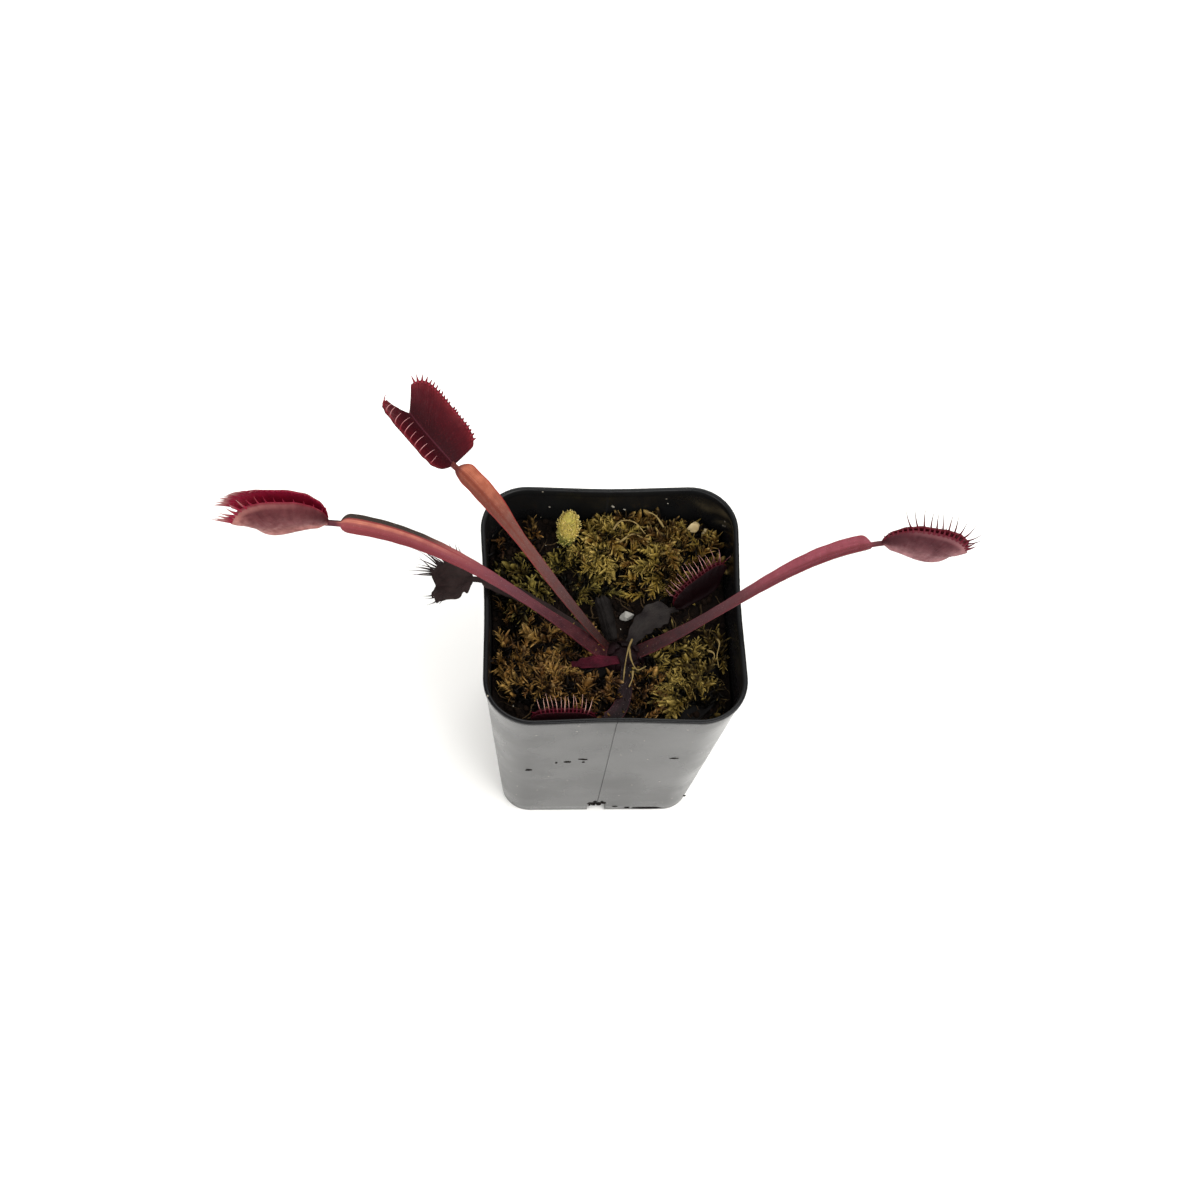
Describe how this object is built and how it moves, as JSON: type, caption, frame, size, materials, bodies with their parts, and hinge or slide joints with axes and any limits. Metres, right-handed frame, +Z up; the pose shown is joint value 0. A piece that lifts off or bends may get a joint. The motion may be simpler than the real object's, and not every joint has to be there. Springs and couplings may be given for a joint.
{
  "type": "potted venus flytrap",
  "caption": "Small venus flytrap in a square black nursery pot of peat and moss, its long stalked leaves arching over the rim and ending in hinged two-lobed traps with toothed edges.",
  "frame": {"origin": "middle of the pot's underside, on the surface that the pot stands on", "axes": "+Z up, +X along the two leaves that reach out over opposite rims, +Y towards the back"},
  "size_m": [0.1736, 0.0678, 0.1245],
  "materials": {
    "pot_plastic": "satin black moulded plastic, with a soft sheen and fine scuffs",
    "peat": "damp dark brown peat, crumbly and matt",
    "crown_tissue": "waxy dark maroon leaf bases",
    "brown_moss": "dry golden-brown moss, fine and matt",
    "green_moss": "olive green moss, fine and matt",
    "pale_moss": "pale yellow-green sphagnum, soft and matt",
    "bark": "cream splinter of bark, matt",
    "perlite": "grey-white expanded grain, matt",
    "dead_tissue": "withered blackish brown leaf, dry and matt",
    "dark_leaf": "dark maroon and grey-green leaf, waxy",
    "leaf_stalk": "mauve to salmon-orange leaf stalk with a satin skin",
    "trap_skin": "dusky mauve outside and crimson inside, satin"
  },
  "bodies": {
    "root": {"pot": "pot_plastic", "growing_medium": "peat", "crown": "crown_tissue", "moss_rear": "brown_moss", "moss_left": "green_moss", "moss_front_left": "brown_moss", "moss_front_right": "brown_moss", "sphagnum_head": "pale_moss", "bark_chip": "bark", "perlite_grain": "perlite", "withered_stub": "dead_tissue", "dead_leaf": "dead_tissue", "young_leaf": "dark_leaf", "left_petiole": "leaf_stalk", "left_trap": "trap_skin", "rear_left_petiole": "leaf_stalk", "rear_left_trap": "trap_skin", "right_petiole": "leaf_stalk", "right_trap": "trap_skin", "inner_right_petiole": "dark_leaf", "inner_right_trap": "trap_skin", "front_petiole": "dark_leaf", "front_trap": "trap_skin"}
  },
  "joints": []
}
